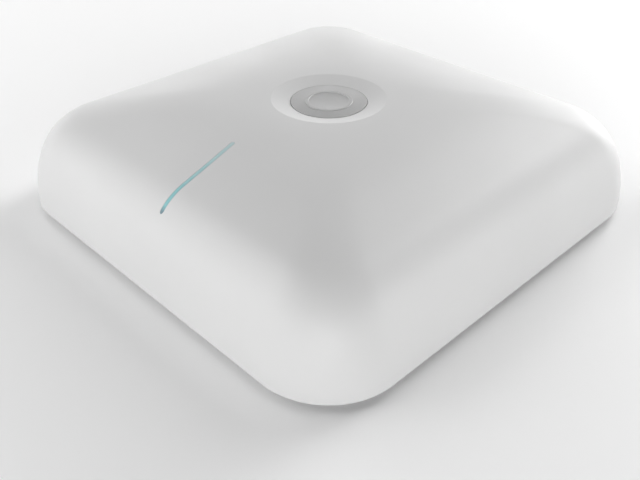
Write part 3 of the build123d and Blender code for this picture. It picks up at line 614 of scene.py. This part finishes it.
def pipe_frosted():
    """Frosted teal strip, deeper in colour at its outer end and paler towards the dish, with painted shadow
    on its outer tip.
    """
    f = Finish("pipe_frosted", (0.14, 0.43, 0.47), 0.42)
    f.cloud(0.004, (0.24, 0.49, 0.52), 2)
    inner_y, outer_y = STRIP_START[1] * MM, STRIP_END[1] * MM
    f.tint(f.remap(f.along("Y", outer_y, inner_y), 0.0, 1.0, 0.0, 0.82), (0.49, 0.58, 0.59))
    # painted shadow: the outer tip of the strip is darkened
    f.tint(f.along("Y", outer_y + 1.4 * MM, outer_y - 0.2 * MM), (0.13, 0.22, 0.25))
    f.gloss(f.noise(0.003), 0.36, 0.48)
    f.relief(f.noise(0.0002, 2), 0.000005)
    return f


def label_silver():
    """Blank coated paper with a thin grey ruled frame and paper fibres."""
    f = Finish("label_silver", (0.70, 0.705, 0.70), 0.38)
    f.cloud(0.006, (0.65, 0.655, 0.65))
    frame_low = f.along("X", -18.6 * MM, -18.5 * MM)
    frame_high = f.along("X", 18.5 * MM, 18.6 * MM)
    inside = f.add("ShaderNodeMath", operation="SUBTRACT")
    f.join(frame_low, inside.inputs[0])
    f.join(frame_high, inside.inputs[1])
    f.tint(inside.outputs[0], (0.74, 0.745, 0.75))
    f.gloss(f.noise(0.004), 0.32, 0.46)
    f.relief(f.noise(0.0002, 4, (1, 3, 1)), 0.000003)
    return f


def bracket_steel():
    """Galvanised sheet: a spangle of zinc crystals under fine scratches."""
    f = Finish("bracket_steel", (0.60, 0.61, 0.62), 0.36, metallic=1.0)
    spangle = f.cells(0.0055, output="Color")
    f.tint(f.remap(spangle, 0.1, 0.9, 0.0, 0.9), (0.45, 0.46, 0.48))
    f.tint(f.remap(f.noise(0.012, 4), 0.5, 0.75, 0, 0.35), (0.72, 0.73, 0.74))
    # painted highlight: the edges are made lighter along a bevel mask
    f.tint(f.remap(f.edges(0.0003), 0, 1, 0, 0.7), (0.80, 0.81, 0.82))
    f.gloss(spangle, 0.30, 0.46)
    f.relief(f.noise(0.0015, 5, (1, 0.08, 1)), 0.000004)
    return f


def cast_aluminium():
    """Die-cast skin: pitted and dull, with paler flow swirls."""
    f = Finish("cast_aluminium", (0.52, 0.53, 0.54), 0.5, metallic=1.0)
    f.cloud(0.02, (0.42, 0.43, 0.44), 5)
    # painted highlight: the edges are made lighter along a bevel mask
    f.tint(f.remap(f.edges(0.0005), 0, 1, 0, 0.6), (0.70, 0.71, 0.72))
    f.gloss(f.noise(0.004, 4), 0.42, 0.62)
    f.relief(f.noise(0.0012, 5), 0.00004)
    f.relief(f.cells(0.003), 0.00002)
    return f


def rolled_sheet(name, colour):
    """Rolled sheet with a grain along X."""
    return metal(name, colour, 0.3, 0.0003, (0.05, 1, 1), 0.000003)


def circuit_board(name, mask, copper):
    """Solder mask over tracks at two angles, with tinned spots for vias."""
    f = Finish(name, mask, 0.34)
    f.tint(f.remap(f.grid(0.0052, 0.0021, 0.00022), 0, 1, 0, 0.7), copper)
    f.tint(f.remap(f.grid(0.0083, 0.0047, 0.0003, 45), 0, 1, 0, 0.45), copper)
    f.tint(f.remap(f.cells(0.0046), 0.10, 0.08), (0.62, 0.58, 0.44))
    f.cloud(0.02, shaded(mask, 0.8), 2)
    f.gloss(f.noise(0.01), 0.28, 0.42)
    f.relief(f.grid(0.0052, 0.0021, 0.00022), 0.00002)
    return f


def chip_black():
    """Moulded epoxy with fine grit, and a painted highlight along its edges."""
    f = moulded("chip_black", (0.030, 0.030, 0.033), 0.55, 0.00015, 0.000006)
    f.tint(f.remap(f.noise(0.0002, 3), 0.62, 0.8, 0, 0.5), (0.11, 0.11, 0.115))
    return f


def pad_grey():
    """Silicone pad with glass cloth showing through."""
    f = Finish("pad_grey", (0.33, 0.38, 0.45), 0.62)
    f.tint(f.remap(f.grid(0.0008, 0.0008, 0.0001), 0, 1, 0, 0.5), (0.45, 0.50, 0.56))
    f.cloud(0.005, (0.28, 0.33, 0.40))
    f.relief(f.grid(0.0008, 0.0008, 0.0001), 0.00002)
    return f


def ceramic(name, colour):
    """Sintered ceramic: speckled and slightly pitted."""
    f = Finish(name, colour, 0.5)
    f.tint(f.remap(f.noise(0.0003, 4), 0.45, 0.7, 0, 0.6), shaded(colour, 0.6))
    # painted highlight: the edges are made lighter along a bevel mask
    f.tint(f.remap(f.edges(0.0002), 0, 1, 0, 0.5), shaded(colour, 1.6))
    f.gloss(f.noise(0.001), 0.42, 0.6)
    f.relief(f.cells(0.0004), 0.000008)
    return f


def capacitor_can():
    """Sleeved aluminium can with faint drawn rings."""
    f = metal("capacitor_can", (0.55, 0.57, 0.60), 0.28, 0.0003, (1, 1, 0.1))
    f.relief(f.waves(0.0006, "Z"), 0.000006)
    return f


def tin_plate(name, colour, grain):
    """Thin plated sheet: bright, with ripples and finger smudges."""
    f = metal(name, colour, 0.2, grain)
    f.relief(f.noise(0.006, 2), 0.00006)
    f.tint(f.remap(f.noise(0.015, 3), 0.55, 0.7, 0, 0.3), shaded(colour, 0.7))
    return f


def glass_filled_black():
    """Black nylon with short glass fibres along the flow."""
    f = moulded("jack_black", (0.028, 0.028, 0.031), 0.48, 0.0004, 0.000012)
    f.tint(f.remap(f.noise(0.0007, 4, (1, 0.2, 1)), 0.58, 0.75, 0, 0.6), (0.075, 0.075, 0.08))
    return f


def foam_black():
    """Closed-cell foam."""
    f = Finish("foam_black", (0.035, 0.035, 0.037), 0.85)
    f.tint(f.remap(f.cells(0.0005), 0.2, 0.6), (0.015, 0.015, 0.016))
    f.relief(f.cells(0.0005), 0.0001)
    f.cloud(0.003, (0.05, 0.05, 0.052))
    return f


def sleeve(name, colour, roughness):
    """A cable's extruded sleeve: fine lengthwise lines and dulled patches."""
    f = Finish(name, colour, roughness)
    f.cloud(0.006, shaded(colour, 0.85))
    f.gloss(f.noise(0.003), roughness - 0.08, roughness + 0.1)
    f.relief(f.noise(0.0003, 3, (0.2, 1, 1)), 0.000006)
    return f


def led_lens():
    """Clear epoxy over a yellow phosphor dot."""
    f = Finish("led_lens", (0.80, 0.72, 0.34), 0.18)
    f.tint(f.remap(f.noise(0.0006, 2), 0.4, 0.6), (0.86, 0.80, 0.50))
    # painted highlight: the edges are made near white along a bevel mask
    f.tint(f.edges(0.0002), (0.88, 0.88, 0.84))
    f.gloss(f.noise(0.001), 0.12, 0.26)
    f.relief(f.noise(0.0003, 2), 0.000004)
    return f


def adhesive_clear():
    """A double-sided film with trapped bubbles."""
    f = Finish("adhesive_clear", (0.66, 0.66, 0.60), 0.3)
    f.tint(f.remap(f.cells(0.0012), 0.12, 0.2, 0.5, 0), (0.80, 0.80, 0.76))
    f.cloud(0.006, (0.60, 0.60, 0.54))
    f.relief(f.cells(0.0012), 0.00001)
    return f


def make_finishes():
    """One finish for each material slot in the record."""
    made = [
        cover_white(), tray_white(), badge_silver(), pipe_frosted(), label_silver(), bracket_steel(),
        cast_aluminium(), chip_black(), pad_grey(), capacitor_can(), glass_filled_black(), foam_black(),
        led_lens(), adhesive_clear(),
        metal("screw_steel", (0.50, 0.52, 0.55), 0.3, 0.0002, (1, 1, 0.2), 0.000004, 0.00015),
        metal("insert_brass", (0.70, 0.50, 0.22), 0.3, 0.0002, (1, 1, 0.2), 0.00001, 0.0002),
        metal("spring_steel", (0.40, 0.39, 0.37), 0.32, 0.0003, (1, 0.06, 1)),
        metal("rivet_aluminium", (0.68, 0.69, 0.70), 0.26, 0.0003, (1, 1, 1), 0.00001),
        metal("contact_gold", (0.84, 0.62, 0.26), 0.2, 0.0001, (1, 1, 1), 0.000001, 0.0001),
        metal("pin_nickel", (0.62, 0.60, 0.57), 0.22, 0.0002, (1, 0.1, 1)),
        rolled_sheet("sheet_aluminium", (0.62, 0.63, 0.64)),
        rolled_sheet("antenna_tin", (0.66, 0.65, 0.60)),
        tin_plate("can_tin", (0.66, 0.66, 0.64), 0.0003),
        tin_plate("jack_tin", (0.64, 0.64, 0.62), 0.0002),
        circuit_board("board_green", (0.015, 0.085, 0.045), (0.035, 0.16, 0.08)),
        circuit_board("board_white", (0.68, 0.68, 0.65), (0.58, 0.58, 0.54)),
        ceramic("component_tan", (0.42, 0.30, 0.18)),
        ceramic("winding_core", (0.055, 0.055, 0.06)),
        moulded("button_grey", (0.20, 0.205, 0.21), 0.42, 0.0003, 0.000008),
        moulded("connector_cream", (0.72, 0.66, 0.50), 0.4, 0.0003, 0.000006),
        sleeve("cable_white", (0.66, 0.66, 0.63), 0.42),
        sleeve("coax_black", (0.035, 0.035, 0.038), 0.4),
    ]
    return {f.name: f for f in made}


def dress(piece, finish):
    piece.data.materials.clear()
    piece.data.materials.append(finish.material)


def dress_nodes(finishes):
    """Gives every CAD node the finish of its slot in the record."""
    slots = {entry["node"]: entry["material_slot"] for entry in frame["record"]["subparts"]}
    for name, node in frame["nodes"].items():
        dress(node, finishes[slots[name]])


# --- stage ------------------------------------------------------------------------------------------------
def make_floor():
    corners = [(x * FLOOR_REACH, y * FLOOR_REACH, 0) for x, y in ((-1, -1), (1, -1), (1, 1), (-1, 1))]
    mesh = bpy.data.meshes.new("floor")
    mesh.from_pydata(corners, [], [(0, 1, 2, 3)])
    floor = bpy.data.objects.new("floor", mesh)
    bpy.context.scene.collection.objects.link(floor)
    f = Finish("floor_white", (0.95, 0.95, 0.95), 0.6)
    f.gloss(f.noise(0.2, 2), 0.55, 0.65)
    dress(floor, f)


def from_view(across, back, up):
    """A place given as seen by the camera: across to the right, back away from it, and up."""
    right = Vector((math.cos(VIEW_AZIMUTH), math.sin(VIEW_AZIMUTH), 0))
    away = Vector((-math.sin(VIEW_AZIMUTH), math.cos(VIEW_AZIMUTH), 0))
    return right * across + away * back + Vector((0, 0, up))


def softbox(name, turn_deg, rise_deg, power):
    """A square soft light. turn_deg is 0 behind the object, 90 to its right and 180 at the camera."""
    light = bpy.data.lights.new(name, "AREA")
    light.size = SOFTBOX_SIZE
    light.energy = power
    lamp = bpy.data.objects.new(name, light)
    turn, rise = math.radians(turn_deg), math.radians(rise_deg)
    level = SOFTBOX_DISTANCE * math.cos(rise)
    height = SOFTBOX_DISTANCE * math.sin(rise)
    lamp.location = from_view(level * math.sin(turn), level * math.cos(turn), height)
    lamp.rotation_euler = (SOFTBOX_AIM - lamp.location).to_track_quat("-Z", "Y").to_euler()
    bpy.context.scene.collection.objects.link(lamp)


def make_lights():
    """A bright low horizon all round that fades out above, and five softboxes."""
    world = bpy.data.worlds.new("studio")
    bpy.context.scene.world = world
    world.use_nodes = True
    tree = world.node_tree
    place = tree.nodes.new("ShaderNodeTexCoord")
    parts = tree.nodes.new("ShaderNodeSeparateXYZ")
    height = tree.nodes.new("ShaderNodeMapRange")
    limits = {"From Min": 0.0, "From Max": HORIZON_TOP, "To Min": HORIZON_STRENGTH, "To Max": 0.0}
    for name, number in limits.items():
        height.inputs[name].default_value = number
    tree.links.new(place.outputs["Generated"], parts.inputs["Vector"])
    tree.links.new(parts.outputs["Z"], height.inputs["Value"])
    background = tree.nodes["Background"]
    background.inputs["Color"].default_value = (1.0, 1.0, 1.0, 1.0)
    tree.links.new(height.outputs["Result"], background.inputs["Strength"])
    for light in SOFTBOXES:
        softbox(*light)


def make_camera():
    camera = bpy.data.cameras.new("camera")
    camera.lens = LENS_MM
    camera.sensor_width = 36.0
    camera.clip_start = 0.01
    shot = bpy.data.objects.new("camera", camera)
    target = from_view(VIEW_TARGET_ACROSS, 0, VIEW_TARGET_Z)
    level = VIEW_DISTANCE * math.cos(VIEW_ELEVATION)
    shot.location = target + from_view(0, -level, VIEW_DISTANCE * math.sin(VIEW_ELEVATION))
    shot.rotation_euler = (target - shot.location).to_track_quat("-Z", "Y").to_euler()
    bpy.context.scene.collection.objects.link(shot)
    bpy.context.scene.camera = shot


finishes = make_finishes()
dress_nodes(finishes)
dress(make_cover(), finishes["cover_white"])
dress(make_strip(), finishes["pipe_frosted"])
dress(make_badge(), finishes["badge_silver"])
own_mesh(frame["nodes"]["detent_spring"])
make_floor()
make_lights()
make_camera()
bpy.context.scene.view_settings.view_transform = "Standard"
